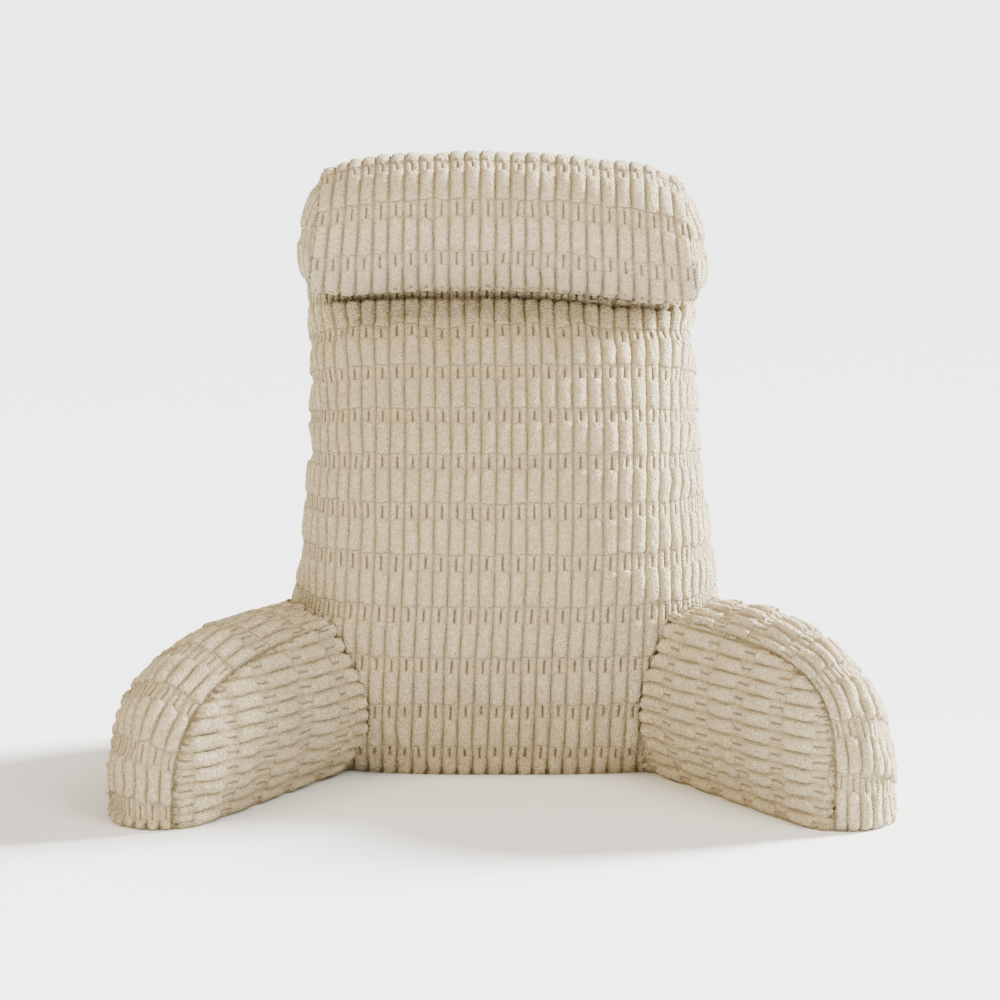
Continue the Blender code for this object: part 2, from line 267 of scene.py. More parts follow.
def mark_edges(piece, seams, depth, deep_seam=(), deep=0.0):
    """Store how far each point is from the nearest seam, and how deep that seam draws the cover in."""
    plain = np.concatenate(seams)
    tree = point_tree([*plain, *deep_seam])
    depths = np.repeat([depth, deep], [len(plain), len(deep_seam)])
    found = [tree.find(point)[1:] for point in positions(piece)]
    # Both also set where the plush is darkened with painted shade near seams.
    store(piece.data, "edge", [min(distance, SEAM_REACH) for _, distance in found])
    store(piece.data, "draw", depths[[index for index, _ in found]])


def dense_line(points, step=0.0015):
    """The same line with a point every step or so."""
    length = lengths_along(points)[-1]
    return at_lengths(points, np.linspace(0.0, length, max(2, int(length / step))))


def back_rows():
    """Places along the table of sections for the mesh's rows, with each row's distance up the face."""
    places = np.linspace(0.0, len(BACK_SECTIONS) - 1.0, 600)
    faces = smooth_rows(BACK_SECTIONS, places)
    measured = lengths_along(faces[:, :2])
    rows = []
    split = FIRST_SPLIT - PAD
    while split < measured[-1] + PAD:
        rows += [split + step for step in PAD_ROWS]
        split += PAD
    rows = [row for row in rows if BASE_ROWS[-1] + 2.0 * ROW_MARGIN < row < measured[-1] - ROW_MARGIN]
    rows = list(BASE_ROWS) + rows + [measured[-1]]
    return np.interp(rows, measured, places), np.array(rows)


wrap_columns = np.array(rib_columns(FINE_REACH, RIB_COLUMNS)
                        + rib_columns(WRAP_REACH, PLAIN_COLUMNS, FINE_REACH + 0.01))
wrap_columns = np.concatenate([-wrap_columns[:0:-1], wrap_columns])
panel_columns = np.array(rib_columns(PANEL_REACH, REAR_COLUMNS))
row_places, row_lengths = back_rows()
sections = smooth_rows(BACK_SECTIONS, row_places)
rings = np.stack([back_ring(section, wrap_columns, panel_columns) for section in sections])
wrap_count = len(wrap_columns)
ring_count = rings.shape[1]

up_the_face = (row_lengths - FIRST_SPLIT) / PAD
up_the_rear = lengths_along(rings[:, wrap_count + len(panel_columns) - 1]) / PAD
across = wrap_columns + 0.5
behind = np.concatenate([panel_columns[::-1], -panel_columns[1:]]) + 0.5 + REAR_CLOTH

back_cover = new_cover()
sew_grid(back_cover, rings[:, :wrap_count], np.stack(np.meshgrid(across, up_the_face), axis=-1))
sew_grid(back_cover, rings[:, wrap_count:], np.stack(np.meshgrid(behind, up_the_rear), axis=-1))
for end in (rings[0], rings[-1]):
    sew_on(back_cover, end, [list(range(ring_count))], np.full((ring_count, 2), REAR_CLOTH))
back = close_cover(back_cover, "back_cushion_cover")
back_seams = [dense_line(line) for line in (rings[:, wrap_count - 1], rings[:, 0], rings[0], rings[-1])]
smooth_back = surface(back)
crease = dense_line(np.array([
    smooth_back.ray_cast((x, -1.0, z), (0.0, 1.0, 0.0))[0]
    for x, z in at_lengths(np.array(CREASE), np.linspace(0.0, CREASE_LENGTH, 60))
]))


# The filling pushes the cover out between its seams, which hold it. The swell is worked out as cloth on
# an even, coarser copy of the cover, and the fine cover then follows that copy.
FORM_STEP = 0.0060  # size of the even copy's faces
FORM_FRAMES = 20  # steps in which the filling swells
FORM_HELD = 0.0140  # how far from a seam the cloth is held back by it
FORM_SHAKE = 0.0004  # small unevenness of the cloth before it swells
FLOOR_HELD = (0.004, 0.012)  # height up to which the floor holds the cloth, and over which it lets go
BROAD_TIMES = 60  # how often the swell is evened to find its broad part, which is taken away
NEAR_POINTS = 6  # points of the copy that carry each point of the fine cover
NEAR_EVENING = 0.000004  # added to the squares of their distances, so that none carries it alone
FORM_CLOTH = {
    "quality": 5, "mass": 0.3, "tension_stiffness": 12.0, "compression_stiffness": 12.0,
    "shear_stiffness": 5.0, "bending_stiffness": 0.15, "use_pressure": True, "uniform_pressure_force": 2.0,
    "shrink_min": -0.08, "shrink_max": -0.08, "vertex_group_mass": "held",
}


def plain_mesh(piece):
    """A piece's mesh as its modifiers leave it."""
    return bpy.data.meshes.new_from_object(piece.evaluated_get(bpy.context.evaluated_depsgraph_get()))


def evened(values, edges, times):
    """Values at the points of a mesh, each averaged with its neighbours' again and again."""
    count = np.ones(len(values)) + np.bincount(edges.ravel(), minlength=len(values))
    for _ in range(times):
        total = values.copy()
        for axis in range(3):
            for one, other in (edges.T, edges.T[::-1]):
                total[:, axis] += np.bincount(one, values[other, axis], len(values))
        values = total / count[:, None]
    return values


def fill_cover(piece, seams, slack, most, seed, is_held=None):
    """Swell a smooth cover between its seams, moving no point further than most."""
    form = new_object(piece.name + "_form", piece.data.copy())
    even = form.modifiers.new("even", "REMESH")
    even.mode = "VOXEL"
    even.voxel_size = FORM_STEP
    mesh = plain_mesh(form)
    form.modifiers.remove(even)
    form.data = mesh
    rest = positions(form)
    tree = point_tree(np.concatenate(seams))
    from_seam = np.array([tree.find(point)[2] for point in rest])
    held = np.clip(1.0 - (from_seam - FORM_STEP) / FORM_HELD, 0.0, 1.0)
    held = np.maximum(held, np.clip(1.0 - (rest[:, 2] - FLOOR_HELD[0]) / FLOOR_HELD[1], 0.0, 1.0))
    if is_held:
        held = np.maximum(held, [is_held(point) for point in rest])
    shake = np.random.default_rng(seed).uniform(-1.0, 1.0, rest.shape)
    inwards = outward(mesh) * slack + shake * FORM_SHAKE
    move_points(form, rest - (1.0 - held)[:, None] * inwards)
    group = form.vertex_groups.new(name="held")
    for index, weight in enumerate(held):
        if weight > 0.0:
            group.add([index], float(weight), "REPLACE")
    cloth = form.modifiers.new("filling", "CLOTH")
    for name, value in FORM_CLOTH.items():
        setattr(cloth.settings, name, value)
    cloth.settings.effector_weights.gravity = 0.0
    cloth.point_cache.frame_start = 1
    cloth.point_cache.frame_end = FORM_FRAMES
    for frame_number in range(1, FORM_FRAMES + 1):
        bpy.context.scene.frame_set(frame_number)
    swollen = plain_mesh(form)
    form.modifiers.remove(cloth)
    form.data = swollen
    shift = positions(form) - rest
    edges = read_rows(swollen.edges, "vertices", 2, np.int32)
    shift = evened(shift, edges, 2)
    shift -= evened(shift, edges, BROAD_TIMES)
    shift *= np.minimum(1.0, most / np.maximum(np.linalg.norm(shift, axis=1), 0.00001))[:, None]
    bpy.data.objects.remove(form)
    tree = point_tree(rest)
    places = positions(piece)
    moved = np.empty_like(places)
    for index, point in enumerate(places):
        found = tree.find_n(point, NEAR_POINTS)
        weights = np.array([1.0 / (distance * distance + NEAR_EVENING) for _, _, distance in found])
        moved[index] = weights @ shift[[near for _, near, _ in found]] / weights.sum()
    places = places + moved
    places[:, 2] = np.maximum(places[:, 2], 0.0)
    move_points(piece, places)


class Value:
    """A number, vector or colour that nodes work out. A sum written with it becomes a Math node."""

    def __init__(self, socket):
        self.socket = socket
        self.tree = socket.id_data

    def beside(self, name):
        """What another output of the same node gives."""
        return Value(self.socket.node.outputs[name])

    def __add__(self, other):
        return calc("ADD", self, other)

    def __sub__(self, other):
        return calc("SUBTRACT", self, other)

    def __rsub__(self, other):
        return calc("SUBTRACT", other, self)

    def __mul__(self, other):
        return calc("MULTIPLY", self, other)

    def __abs__(self):
        return calc("ABSOLUTE", self)


def join_to(socket, value):
    """Give a node's input a constant, or join what another node works out to it."""
    if isinstance(value, Value):
        socket.id_data.links.new(value.socket, socket)
    else:
        socket.default_value = value


def add_node(tree, kind, inputs=None, output=0, **settings):
    """Add a node with its settings and inputs, and give what one of its outputs works out."""
    node = tree.nodes.new(kind)
    for name, value in settings.items():
        setattr(node, name, value)
    for name, value in (inputs or {}).items():
        join_to(node.inputs[name], value)
    return Value(node.outputs[output]) if node.outputs else None


def add_sockets(tree, sockets, way="INPUT"):
    """Give a node group inputs or outputs, each a name and a kind."""
    for name, kind in sockets.items():
        tree.interface.new_socket(name, in_out=way, socket_type="NodeSocket" + kind)


def calc(operation, *values):
    """The result of one Math node on numbers and values."""
    tree = next(value.tree for value in values if isinstance(value, Value))
    return add_node(tree, "ShaderNodeMath", dict(enumerate(values)), operation=operation)


def ramp(value, low, high, start=0.0, end=1.0, shape="SMOOTHSTEP"):
    """A smooth step or a LINEAR one from start to end as a value goes from low to high."""
    inputs = {0: value, 1: low, 2: high, 3: start, 4: end}
    return add_node(value.tree, "ShaderNodeMapRange", inputs, interpolation_type=shape)


def fade(value, low, high):
    """A smooth step down from 1 to 0 as a value goes from low to high."""
    return ramp(value, low, high, 1.0, 0.0)


def blend(low, high, share):
    """Low where share is 0 and high where it is 1."""
    return calc("MULTIPLY_ADD", calc("SUBTRACT", high, low), share, low)


def rounded(share):
    """The height of a quarter circle, from 0 at its foot to 1, for a share of its width."""
    left = 1.0 - share
    return calc("SQRT", calc("MAXIMUM", 1.0 - left * left, 0.0))


def crown(out, squareness):
    """The height of a rib's cross-section, from 1 on its crest to 0 at its edge."""
    return calc("SQRT", calc("MAXIMUM", 1.0 - calc("POWER", out, squareness), 0.0))


RIB_SIZES = {
    "Rib Width": WALE, "Pad Length": PAD, "Slot Length": SLOT_LENGTH, "Stray": 0.0014, "Shoulder": 0.0034,
}
ROW_SEED = 37.7  # keeps the chances of one row's pads apart from the next row's


def rib_pattern(wale, pad, size):
    """Where a place lies on the cloth, in metres: from a groove, from a slot and from a pad's end."""
    rib = calc("FLOOR", wale)
    seed = rib + calc("FLOOR", pad + 0.5) * ROW_SEED
    chance = add_node(wale.tree, "ShaderNodeTexWhiteNoise", {"W": seed}, "Color", noise_dimensions="1D")
    chance = add_node(wale.tree, "ShaderNodeSeparateXYZ", {0: chance})
    stray, slant, growth = (chance.beside(axis) - 0.5 for axis in "XYZ")
    side = calc("FRACT", wale) - 0.5
    out = abs(side) * 2.0
    along = (calc("FRACT", pad + 0.5) - 0.5) * size["Pad Length"] + stray * size["Stray"]
    from_split = abs(along)
    half_slot = size["Slot Length"] * (growth * 0.16 + 0.5)
    above = calc("GREATER_THAN", along, 0.0)
    arched = rounded(calc("MINIMUM", out * 2.5, 1.0))
    shoulder = blend(out * out, arched, above) * size["Shoulder"]
    lean = side * slant * (size["Shoulder"] * 2.4)
    return {
        "rib": rib, "out": out, "chance": chance.beside("Y"), "above": above,
        "to_groove": (1.0 - out) * (size["Rib Width"] * 0.5),
        "to_slot": abs(side * size["Rib Width"] + slant * along * 0.07),
        "past_end": from_split - (half_slot + shoulder + lean),
        "past_slot": from_split - half_slot,
    }


RELIEF_SIZES = {
    **RIB_SIZES, "Rib Height": 0.0050, "Rib Squareness": 2.8, "Half Rib Height": 0.0028, "End Round": 0.0045,
    "End Drop": 0.60, "Seam Height": 0.40, "Seam Pinch": 0.0024, "Pucker": 0.0024, "Pucker Reach": 0.030,
    "Slackness": 0.0007, "Lumps": 0.0024,
}
HALF_RIB_SQUARENESS = 2.6


def relief_tree():
    """The tree that raises the ribs, slots and seams in a smooth cover."""
    tree = bpy.data.node_groups.new("plush_relief", "GeometryNodeTree")
    tree.is_modifier = True
    floats = dict.fromkeys(RELIEF_SIZES, "Float")
    add_sockets(tree, {"Geometry": "Geometry", **floats, "Seed": "Float", "Material": "Material"})
    add_sockets(tree, {"Geometry": "Geometry"}, "OUTPUT")
    for item in tree.interface.items_tree:
        if item.name in RELIEF_SIZES:
            item.default_value = RELIEF_SIZES[item.name]
    size = {socket.name: Value(socket) for socket in tree.nodes.new("NodeGroupInput").outputs}
    place = add_node(tree, "GeometryNodeInputPosition")

    def stored(name):
        named = {"Name": name}
        return add_node(tree, "GeometryNodeInputNamedAttribute", named, "Attribute", data_type="FLOAT")

    def soft_noise(scale, detail, output="Fac"):
        return add_node(tree, "ShaderNodeTexNoise", {
            "Vector": place, "W": size["Seed"], "Scale": scale, "Detail": detail, "Roughness": 0.5,
        }, output, noise_dimensions="4D")

    def scaled(vector, amount):
        return add_node(tree, "ShaderNodeVectorMath", {0: vector, "Scale": amount}, operation="SCALE")

    def added(vector, other):
        return add_node(tree, "ShaderNodeVectorMath", {0: vector, 1: other}, operation="ADD")

    edge = stored("edge")
    draw = stored("draw")
    pattern = rib_pattern(stored("wale"), stored("pad"), size)
    out = pattern["out"]
    end = rounded(ramp(pattern["past_end"], 0.0, size["End Round"], shape="LINEAR"))
    full = crown(out, size["Rib Squareness"]) * (size["Rib Height"] * (pattern["chance"] * 0.16 + 0.92))
    full = full * blend(1.0 - size["End Drop"], 1.0, end)
    half = crown(abs(out * 2.0 - 1.0), HALF_RIB_SQUARENESS) * size["Half Rib Height"]
    raised = blend(half, full, ramp(pattern["past_end"], -0.0012, 0.0006))
    raised = blend(size["Rib Height"] * size["Seam Height"], raised, ramp(edge, 0.0, 0.0026))
    seam = rounded(ramp(edge, 0.0, draw * 2.0, shape="LINEAR"))
    pinch = fade(edge, 0.001, 0.010) * ramp(out, 0.45, 1.0)
    puckers = (soft_noise(60.0, 1.0) - 0.5) * fade(edge, 0.0, size["Pucker Reach"])
    lumps = soft_noise(210.0, 2.0) - 0.5
    sunk = (size["Rib Height"] - raised + (1.0 - seam) * draw + pinch * size["Seam Pinch"]
            + puckers * (size["Pucker"] * 2.0) + lumps * size["Lumps"])
    height = add_node(tree, "ShaderNodeSeparateXYZ", {0: place}, "Z")
    free = ramp(height, 0.0, 0.02) * ramp(edge, 0.0, 0.012)
    drift = added(soft_noise(21.0, 1.0, "Color"), (-0.5, -0.5, -0.5))
    drift = scaled(drift, size["Slackness"] * 4.0 * free)
    total = added(scaled(add_node(tree, "GeometryNodeInputNormal"), sunk * -1.0), drift)
    total = scaled(total, ramp(height, 0.0002, 0.0012))
    moved = add_node(tree, "GeometryNodeSetPosition", {"Geometry": size["Geometry"], "Offset": total})
    real = add_node(tree, "GeometryNodeRealizeInstances", {"Geometry": moved})
    dressed = add_node(tree, "GeometryNodeSetMaterial", {"Geometry": real, "Material": size["Material"]})
    add_node(tree, "NodeGroupOutput", {"Geometry": dressed})
    return tree


plush_relief = relief_tree()


def raise_ribs(piece, material, seed, changes):
    """Run the relief tree on a smooth cover, and leave a plain mesh in its place."""
    modifier = piece.modifiers.new("relief", "NODES")
    modifier.node_group = plush_relief
    wanted = {"Seed": seed, "Material": material, **changes}
    for item in plush_relief.interface.items_tree:
        if item.name in wanted:
            modifier[item.identifier] = wanted[item.name]
    raised = plain_mesh(piece)
    piece.modifiers.remove(modifier)
    piece.data = raised
    places = positions(piece)
    places[:, 2] = np.maximum(places[:, 2], 0.0)
    move_points(piece, places)
    raised.shade_smooth()


CRUMB_LENGTH = 0.0105  # length of the clumps into which the pile of a pad parts
# Pile is the cloth's own colour. Shaded Pile is a shaded copy of it, used for the pile's uneven tone and for
# painted shade. Groove and Slot are the base cloth seen between the pile, darkened further with painted
# shade.
PLUSH_COLOURS = {
    "Pile": (0.90, 0.775, 0.52, 1.0), "Shaded Pile": (0.67, 0.518, 0.28, 1.0),
    "Groove": (0.60, 0.46, 0.243, 1.0), "Slot": (0.31, 0.21, 0.10, 1.0),
}


def plush_group():
    """The colour and fine height of the plush: tan grooves and dark slots, their base cloth with painted
    shade, crumbly pile, and painted shade at pad ends and seams.
    """
    group = bpy.data.node_groups.new("ribbed_plush", "ShaderNodeTree")
    floats = dict.fromkeys(("Wale", "Pad", "Edge", "Draw", *RIB_SIZES), "Float")
    add_sockets(group, {**floats, "Place": "Vector", **dict.fromkeys(PLUSH_COLOURS, "Color")})
    add_sockets(group, {"Color": "Color", "Height": "Float"}, "OUTPUT")
    size = {socket.name: Value(socket) for socket in group.nodes.new("NodeGroupInput").outputs}
    edge = size["Edge"]

    def noise(scale, detail, roughness=0.5):
        return add_node(group, "ShaderNodeTexNoise", {
            "Vector": size["Place"], "Scale": scale, "Detail": detail, "Roughness": roughness}, "Fac")

    pattern = rib_pattern(size["Wale"], size["Pad"], size)
    wander = noise(160.0, 2.0) * 0.0012 - 0.0006
    to_groove = abs(pattern["to_groove"] + wander)
    past_end = pattern["past_end"] + wander
    # Tan in and beside each groove: the base cloth seen between the pile, widened and darkened with painted
    # shade of the groove.
    groove = fade(to_groove, 0.0003, 0.0042)
    # Dark in each slot: the base cloth seen through it, darkened with painted shade of the slit.
    slot = fade(abs(pattern["to_slot"] + wander), 0.0004, 0.0021)
    slot = slot * fade(pattern["past_slot"], -0.0006, 0.0008)
    # A dark line painted round each pad's end as painted shadow, heavier at the lower end of the pad above
    # each split, as under an end lit from above.
    painted_pad_end_shadow = fade(abs(past_end), 0.0, 0.0013) * ramp(pattern["above"], 0.0, 1.0, 0.35, 1.0, "LINEAR")
    cell = add_node(group, "ShaderNodeCombineXYZ", {
        0: pattern["out"] * 0.30 + pattern["rib"] * 7.31,
        1: calc("DIVIDE", size["Pad"] * size["Pad Length"] + wander * 1.5, CRUMB_LENGTH)})
    cracks = add_node(group, "ShaderNodeTexVoronoi", {"Vector": cell, "Scale": 1.0}, "Distance",
                      voronoi_dimensions="2D", feature="DISTANCE_TO_EDGE")
    cracks = fade(cracks, 0.0, 0.09) * ramp(noise(85.0, 1.0), 0.46, 0.58)
    cracks = cracks * ramp(pattern["past_end"], 0.001, 0.003)
    clumps = noise(230.0, 2.0, 0.60)
    crumbs = noise(460.0, 2.0, 0.60)
    # Darker along seams and in the grooves beside them: painted shade of the creases where the cover is
    # drawn in.
    seam = fade(edge, 0.0003, 0.0022)
    pinch = fade(edge, 0.001, 0.0060) * fade(to_groove, 0.0005, 0.0026)
    # Darker still where a seam draws the cover in deeply, under the bolster and round the arms' roots:
    # painted shade of those creases.
    painted_crease_shade = fade(edge, 0.0006, 0.0060) * ramp(size["Draw"], 0.0030, 0.0065)
    # Shaded Pile is mixed in for the pile's uneven tone in clumps, crumbs and broad patches, with painted
    # shade in its clumps and partings and over the lower half ribs of each split; then come the painted
    # shadow of pad ends and the painted shade of grooves, slots, seams and deep creases.
    colour = size["Pile"]
    for name, share in (
        ("Shaded Pile", ramp(clumps, 0.40, 0.66) * 0.60),
        ("Shaded Pile", ramp(crumbs, 0.44, 0.60) * 0.80),
        ("Shaded Pile", ramp(noise(30.0, 2.0), 0.40, 0.75) * 0.35),
        ("Shaded Pile", cracks * 0.65),
        ("Shaded Pile", ramp(past_end, -0.0010, 0.0010, 0.15, 0.0)),
        ("Slot", painted_pad_end_shadow * 0.72), ("Groove", groove * 0.85), ("Slot", slot * 0.88),
        ("Groove", seam * 0.30), ("Slot", pinch * 0.6), ("Slot", painted_crease_shade * 0.62),
    ):
        colour = add_node(group, "ShaderNodeMix", {0: share, 6: colour, 7: size[name]}, 2, data_type="RGBA")
    height = clumps * -9.0 + crumbs * -6.0
    for mask, depth in ((groove, 1.1), (slot, 1.5), (painted_pad_end_shadow, 0.9), (cracks, 0.6), (pinch, 0.9), (seam, 0.4)):
        height = height - mask * depth
    add_node(group, "NodeGroupOutput", {"Color": colour, "Height": height})
    return group


ribbed_plush = plush_group()


def plush_material(name, changes):
    """Ribbed plush: no gloss, and the soft edge light of a thick pile."""
    material = bpy.data.materials.new(name)
    material.use_nodes = True
    tree = material.node_tree
    shader = tree.nodes["Principled BSDF"]
    cloth = add_node(tree, "ShaderNodeSeparateXYZ", {0: add_node(tree, "ShaderNodeUVMap", uv_map="cloth")})
    values = {title: changes.get(title, value) for title, value in (RIB_SIZES | PLUSH_COLOURS).items()}
    colour = add_node(tree, "ShaderNodeGroup", {
        "Wale": cloth, "Pad": cloth.beside("Y"),
        "Edge": add_node(tree, "ShaderNodeAttribute", output="Fac", attribute_name="edge"),
        "Draw": add_node(tree, "ShaderNodeAttribute", output="Fac", attribute_name="draw"),
        "Place": add_node(tree, "ShaderNodeTexCoord", output="Object"), **values,
    }, "Color", node_tree=ribbed_plush)
    bump = add_node(tree, "ShaderNodeBump", {
        "Strength": 1.0, "Distance": 0.001, "Height": colour.beside("Height")})
    for title, value in (
        ("Base Color", colour), ("Normal", bump), ("Roughness", 0.95), ("Specular IOR Level", 0.15),
        ("Sheen Weight", 0.20), ("Sheen Roughness", 0.5), ("Sheen Tint", (1.0, 0.96, 0.88, 1.0)),
    ):
        join_to(shader.inputs[title], value)
    return material


def finish_piece(piece, node, slot, seed, changes={}):
    """Raise the ribs, give the plush, and put the piece in its node's place."""
    raise_ribs(piece, plush_material(slot, changes), seed, changes)
    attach(piece, "root")
    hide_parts(node)


fill_cover(back, back_seams + [crease], slack=0.0035, most=0.0030, seed=11)
back_form = surface(back)
mark_edges(back, back_seams, BACK_SEAM_DEPTH, crease, CREASE_DEPTH)
finish_piece(back, "back_cushion", "back_cloth", 1.0)


# ==================== the arms
# Each arm is a filled cushion of the same plush: a D-shaped panel inside and out, and a band seven ribs
# wide that runs over the arch and down the foot between them. Its root is sewn to the lower corner of
# the back. The ribs lie lengthwise on the panels and run round the arch on the band.

BAND_CHORD = 0.086  # straight width of the band between its two seams
BAND_RIBS = 7  # ribs across the band
BAND_HALF_ANGLE = 0.97  # half of the arc that the band's crown spans, in radians
ARM_ROOT = 0.080  # how far the arm's form reaches behind its own origin, into the back
ARM_CURL = 0.008  # radius of the rounded edge round the underside
SIDE_BULGE = 0.022  # swell of an arm's side panels
ROOT_PRESS = 0.82  # share of the band's crown that is pressed flat beside the back
PRESS_LENGTH = 0.140  # how far along the arm the crown takes to rise to the full
WIDEST_AT = 0.55  # share of the arm's height at which its root is at its widest
EDGE_POWER = 12.0  # how late the side panel turns in to the band's seam
ARCH_STEP = 0.0022  # length of one row of the band's mesh
PANEL_STEP = 0.0021  # and of one row of the side panels' mesh
PANEL_PAD = 0.012  # from the foot to the side panels' first split
PANEL_MARGIN = 0.0009  # how far a panel's inner points stay from its outline
SEAT_STEP = 0.003  # step by which a rib is followed until it meets the back
LOW_ROW = 0.003  # how far up a panel's lowest row lies, and how far from the foot its lower edge ends
FLOOR_STEP = 0.004  # spacing of the points along that edge
LIP_HEIGHT = 0.004  # height at which the underside's edge is laid against the back
UNDERSIDE_STEP = 0.012  # spacing of the points under the arm
NEAR_BACK = 0.010  # closer to the back than this, a cover is held still
ROOT_RINGS = 7  # rings of faces over the root, where it is sewn to the back
# The deep root seam is also darkened with painted shade.
ARM_SEAM_DEPTH = 0.0010  # how far the seams beside the band draw the cover in
ROOT_SEAM_DEPTH = 0.0045  # and the seam by which an arm is sewn to the back
# Where each panel's ribs are counted from.
PANEL_CLOTHS = {"inner": 300.0, "outer": 400.0, "band": 500.0, "root": 600.0}
# On the arms the slot colour, also used for their painted shade at pad ends, seams and root, is a lighter
# tan.
ARM_RELIEF = {
    "Stray": 0.0026, "Shoulder": 0.0038, "End Drop": 0.90, "Half Rib Height": 0.0012, "End Round": 0.0050,
    "Lumps": 0.0018, "Seam Pinch": 0.0042, "Slot": (0.35, 0.25, 0.125, 1.0),
}

Arm = namedtuple("Arm", (
    "name side splay foot_x foot_y length height inner_arch outer_arch widening root_swell first_split"))
ARMS = (
    Arm("arm_left", -1.0, 36.5, -0.338, -0.335, 0.282, 0.175, 3.1, 3.7, 0.016, 0.010, 0.020),
    Arm("arm_right", 1.0, 38.0, 0.333, -0.342, 0.291, 0.182, 4.8, 3.4, 0.012, 0.002, 0.043),
)


def height_above_back(point):
    """Signed distance from a point to the back's cover, negative inside it."""
    place, normal, _, distance = back_form.find_nearest(Vector(point))
    return math.copysign(distance, (Vector(point) - place).dot(normal))


def onto_back(point):
    """The nearest place that just clears the back's cover."""
    place, normal, _, _ = back_form.find_nearest(Vector(point))
    return np.array(place + normal * SEAT_GAP)


def near_the_back(point):
    """Whether a place is held still by lying against the back."""
    return 1.0 if height_above_back(point) < NEAR_BACK else 0.0


def arch_point(arm, angle, power):
    """A point of the arch as forward and up, with its outward direction, for a superellipse's angle."""
    reach = arm.length + ARM_ROOT
    cosine, sine = np.clip(np.cos(angle), 0.0, 1.0), np.clip(np.sin(angle), 0.0, 1.0)
    near, far = 2.0 / power, 2.0 - 2.0 / power
    place = np.stack([-ARM_ROOT + reach * cosine ** near, arm.height * sine ** near], axis=-1)
    normal = np.stack([cosine ** far / reach, sine ** far / arm.height], axis=-1)
    return place, normal / np.linalg.norm(normal, axis=-1, keepdims=True)


def widening(arm, forward, height):
    """How much further in the inner seam lies at a place, as the arm widens towards the back."""
    rise = np.sin(0.5 * math.pi * np.minimum(1.0, height / arm.height / WIDEST_AT))
    return arm.widening * np.maximum(0.0, 1.0 - forward / arm.length) * rise


def panel_offset(arm, forward, height, inner):
    """How far a side panel lies from the arm's middle plane."""
    power = arm.inner_arch if inner else arm.outer_arch
    up = np.clip(height / arm.height, 0.0, 1.0)
    along_arm = np.clip((forward + ARM_ROOT) / (arm.length + ARM_ROOT), 0.0, 1.0)
    rim = np.minimum(1.0, (along_arm ** power + up ** power) ** (1.0 / power))
    edge = np.sqrt(1.0 - rim ** EDGE_POWER)
    if not inner:
        return BAND_CHORD / 2.0 + SIDE_BULGE * edge
    near_back = np.maximum(0.0, 1.0 - forward / arm.length)
    round_up = np.sin(math.pi * up)
    swell = SIDE_BULGE * (1.0 - near_back * (1.0 - round_up)) + arm.root_swell * near_back * round_up
    return BAND_CHORD / 2.0 + widening(arm, forward, height) + swell * edge


def arm_place(arm, local):
    """World places of points given as forward, inward and up."""
    splay = math.radians(arm.splay)
    forward = np.array([arm.side * math.sin(splay), -math.cos(splay), 0.0])
    inward = np.array([-arm.side * math.cos(splay), -math.sin(splay), 0.0])
    foot = np.array([arm.foot_x, arm.foot_y, 0.0])
    origin = foot - forward * arm.length - inward * BAND_CHORD / 2.0
    local = np.asarray(local, float)
    return origin + local[..., :1] * forward + local[..., 1:2] * inward + local[..., 2:] * (0.0, 0.0, 1.0)


def seat_on_back(path):
    """Where a line of places, which starts clear of the back, reaches it: a place between two of them."""
    for index, point in enumerate(path):
        height = height_above_back(point) - SEAT_GAP
        if height <= 0.0:
            return max(index - 1.0 + last / (last - height), 0.0) if index else 0.0
        last = height
    return len(path) - 1.0


def between(path, place):
    """The point of a line at a place between two of its points."""
    low = min(int(place), len(path) - 2)
    return path[low] + (path[low + 1] - path[low]) * (place - low)


def inside_outline(points, outline):
    """Which points of a plane lie inside a closed outline."""
    found = np.zeros(len(points), bool)
    for (x0, y0), (x1, y1) in zip(outline, np.roll(outline, -1, axis=0)):
        if y0 != y1:
            crosses = (points[:, 1] >= min(y0, y1)) & (points[:, 1] < max(y0, y1))
            found ^= crosses & (points[:, 0] < x0 + (points[:, 1] - y0) * (x1 - x0) / (y1 - y0))
    return found


def cut_panel(outline, across, along, margin):
    """A flat panel cut to an outline: its points, the outline's first, and its triangles. Inside the
    outline the points lie in rows across and along the ribs."""
    grid = np.stack(np.meshgrid(across, along), axis=-1).reshape(-1, 2)
    grid = grid[inside_outline(grid, outline)]
    ahead = np.roll(outline, -1, axis=0)
    close = np.concatenate([outline + (ahead - outline) * share for share in (0.0, 0.25, 0.5, 0.75)])
    tree = point_tree([(x, y, 0.0) for x, y in close])
    grid = grid[[tree.find((x, y, 0.0))[2] > margin for x, y in grid]]
    flat = np.concatenate([outline, grid])
    count = len(outline)
    edges = [(index, (index + 1) % count) for index in range(count)]
    points, _, faces, sources, _, _ = delaunay_2d_cdt(
        [Vector(point) for point in flat], edges, [list(range(count))], 1, 0.0000001)
    order = {index: source[0] for index, source in enumerate(sources) if source}
    kept = [[order[index] for index in face] for face in faces if all(index in order for index in face)]
    return flat, kept


